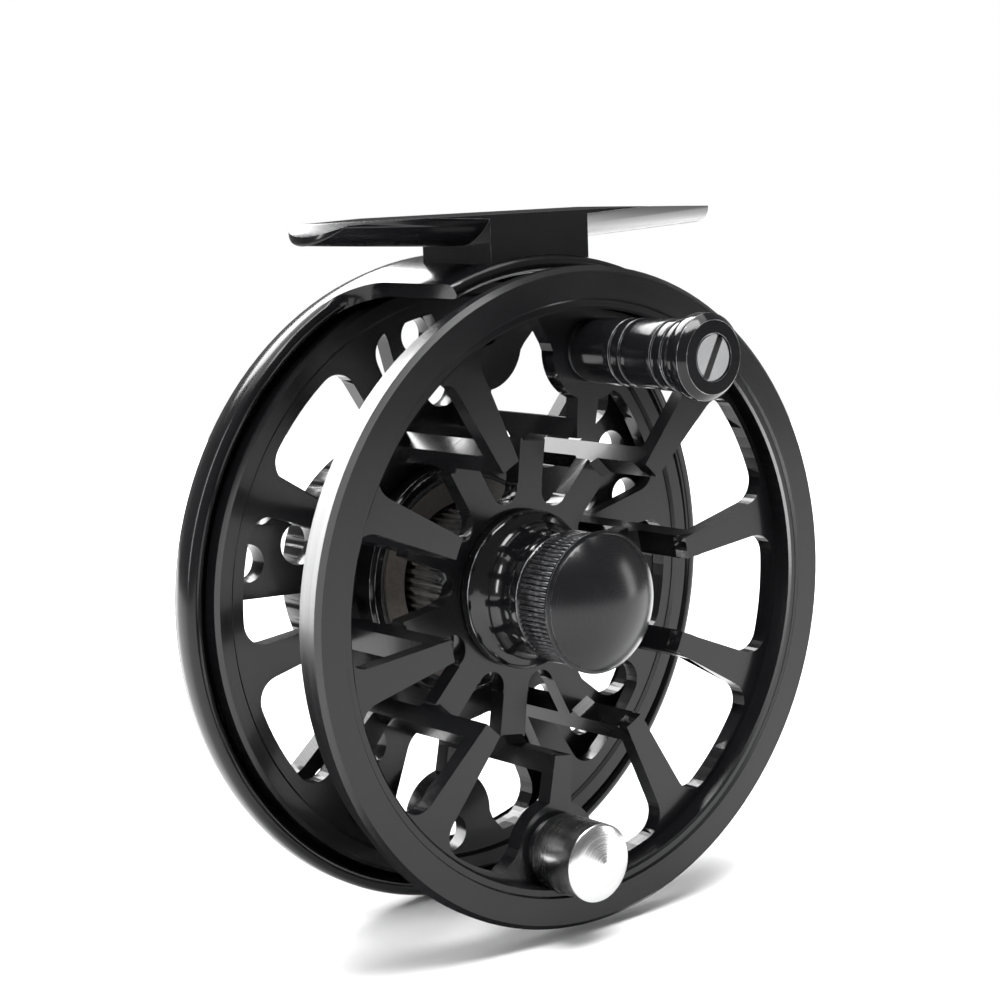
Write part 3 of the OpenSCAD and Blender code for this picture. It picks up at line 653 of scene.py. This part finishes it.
class REEL_OT_drag(bpy.types.Operator):
    """Builds the splined drive gear and finishes the drag knob and the drag's inner pieces"""
    bl_idname = "reel.drag"
    bl_label = "Drag"

    def execute(self, context):
        s, k = context.scene.reel_finish, context.scene.reel_knurl
        bright = turned_steel("gear_bright", s.bright, s, rough=0.2)
        low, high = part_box("drive_gear")
        outer = (high[0] - low[0]) / 2
        length, middle = high[1] - low[1], (low[1] + high[1]) / 2
        root = outer - GEAR_SPLINE_STAND
        core = turned_piece("gear_core", ring_profile(
            GEAR_BORE_R, root, length / 2, GEAR_CHAMFER, GEAR_RECESS_R, GEAR_RECESS_DEPTH),
            bright, about_axis(middle))
        teeth = grow("gear_splines", ridge_tree("gear_spline_ring"), {
            "Count": k.gear_splines, "Ring radius": root + RIDGE_SEAT, "Length": length - 0.0003,
            "Ridge radius": GEAR_SPLINE_R, "Sides": 8}, about_axis(middle), bright)
        for piece in (core, teeth):
            smooth_faces(piece)
            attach(piece, "spool_body")
        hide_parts("drive_gear")

        black = anodised("drag_knob_black", s, rough=0.30)
        paint("drag_knob", black, edge_metal("drag_knob_edge"), s.edge_width)
        steel = turned_steel("drag_steel", s.steel, s)
        for node in ("spindle", "drag_rotor", "pressure_plate", "drag_springs", "thrust_pins", "knob_washer",
                     "knob_nut", "click_pawl", "pawl_pin", "pawl_spring", "reaction_ring", "one_way_clutch",
                     "front_bearing", "rear_bearing"):
            paint(node, steel)
        carbon = carbon_disc("carbon_weave")
        for node in ("front_friction_disc", "rear_friction_disc"):
            paint(node, carbon)
        paint("housing_seal", rubber("seal_rubber"))
        return {"FINISHED"}


class REEL_OT_studio(bpy.types.Operator):
    """Sets the floor, the soft lights, the world and the camera"""
    bl_idname = "reel.studio"
    bl_label = "Studio"

    def execute(self, context):
        s = context.scene.reel_studio
        low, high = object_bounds()
        centre = (Vector(low) + Vector(high)) / 2
        self.floor(context, s, low[2])
        self.lights(context, centre)
        self.world(context, s)
        self.camera(context, s)
        return {"FINISHED"}

    def floor(self, context, s, level):
        steps = FLOOR_STEPS
        verts = [(0.0, 0.0, level)]
        for i in range(1, FLOOR_RINGS + 1):
            r = FLOOR_REACH * (i / FLOOR_RINGS) ** 2
            verts += [(r * math.cos(2 * math.pi * j / steps), r * math.sin(2 * math.pi * j / steps), level)
                      for j in range(steps)]
        faces = [(0, 1 + j, 1 + (j + 1) % steps) for j in range(steps)]
        for i in range(FLOOR_RINGS - 1):
            a, b = 1 + i * steps, 1 + (i + 1) * steps
            faces += [(a + j, b + j, b + (j + 1) % steps, a + (j + 1) % steps) for j in range(steps)]
        mesh = bpy.data.meshes.new("studio_floor")
        mesh.from_pydata(verts, [], faces)
        mesh.materials.append(studio_floor("floor_paper", s.floor))
        floor = bpy.data.objects.new("studio_floor", mesh)
        context.scene.collection.objects.link(floor)
        floor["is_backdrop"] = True

    def lights(self, context, centre):
        for name, offset, (wide, tall), power in SOFTBOXES:
            data = bpy.data.lights.new(name, "AREA")
            data.shape = "RECTANGLE"
            data.size, data.size_y = wide, tall
            data.energy = power
            obj = bpy.data.objects.new(name, data)
            obj.location = centre + Vector(offset)
            obj.rotation_euler = (centre - obj.location).to_track_quat("-Z", "Y").to_euler()
            context.scene.collection.objects.link(obj)

    def world(self, context, s):
        """Dim air for the reel; the camera itself sees plain white."""
        world = bpy.data.worlds.new("studio_air")
        world.use_nodes = True
        context.scene.view_settings.view_transform = "Standard"
        nodes, links = world.node_tree.nodes, world.node_tree.links
        dim = nodes["Background"]
        dim.inputs["Color"].default_value = WHITE
        dim.inputs["Strength"].default_value = s.air
        plain = nodes.new("ShaderNodeBackground")
        plain.inputs["Color"].default_value = WHITE
        plain.inputs["Strength"].default_value = 1.0
        ray = nodes.new("ShaderNodeLightPath")
        choice = nodes.new("ShaderNodeMixShader")
        links.new(ray.outputs["Is Camera Ray"], choice.inputs[0])
        links.new(dim.outputs[0], choice.inputs[1])
        links.new(plain.outputs[0], choice.inputs[2])
        links.new(choice.outputs[0], nodes["World Output"].inputs["Surface"])
        context.scene.world = world

    def camera(self, context, s):
        data = bpy.data.cameras.new("camera")
        data.sensor_width = 36.0
        data.lens = s.lens
        data.clip_start, data.clip_end = 0.005, 20.0
        cam = bpy.data.objects.new("camera", data)
        a, e = s.azimuth, s.elevation
        back = Vector((math.sin(a) * math.cos(e), -math.cos(a) * math.cos(e), math.sin(e)))
        right = Vector((math.cos(a), math.sin(a), 0.0))
        up = back.cross(right)
        turned_right = right * math.cos(s.roll) + up * math.sin(s.roll)
        turned_up = up * math.cos(s.roll) - right * math.sin(s.roll)
        cam.matrix_world = Matrix.Translation(Vector(s.aim) + back * s.distance) @ Matrix(
            (turned_right, turned_up, back)).transposed().to_4x4()
        context.scene.collection.objects.link(cam)
        context.scene.camera = cam


class REEL_PT_panel(bpy.types.Panel):
    """Lists the reel's pieces and settings"""
    bl_label = "Fly Reel"
    bl_idname = "REEL_PT_panel"
    bl_space_type = "VIEW_3D"
    bl_region_type = "UI"
    bl_category = "Fly Reel"

    def draw(self, context):
        for title, group in (("Finish", context.scene.reel_finish), ("Knurls", context.scene.reel_knurl),
                             ("Studio", context.scene.reel_studio)):
            box = self.layout.box()
            box.label(text=title)
            for name in group.__annotations__:
                box.prop(group, name)
        for operator in OPERATORS:
            self.layout.operator(operator.bl_idname)


OPERATORS = (REEL_OT_frame, REEL_OT_spool, REEL_OT_release_knob, REEL_OT_crank, REEL_OT_drag, REEL_OT_studio)
GROUPS = (("reel_finish", FinishSettings), ("reel_knurl", KnurlSettings), ("reel_studio", StudioSettings))


def register():
    for name, group in GROUPS:
        bpy.utils.register_class(group)
        setattr(bpy.types.Scene, name, PointerProperty(type=group))
    for cls in (*OPERATORS, REEL_PT_panel):
        bpy.utils.register_class(cls)


def unregister():
    for cls in (REEL_PT_panel, *reversed(OPERATORS)):
        bpy.utils.unregister_class(cls)
    for name, group in reversed(GROUPS):
        delattr(bpy.types.Scene, name)
        bpy.utils.unregister_class(group)


def main():
    register()
    bpy.ops.reel.frame()
    bpy.ops.reel.spool()
    bpy.ops.reel.release_knob()
    bpy.ops.reel.crank()
    bpy.ops.reel.drag()
    bpy.ops.reel.studio()


if __name__ == "__main__":
    main()
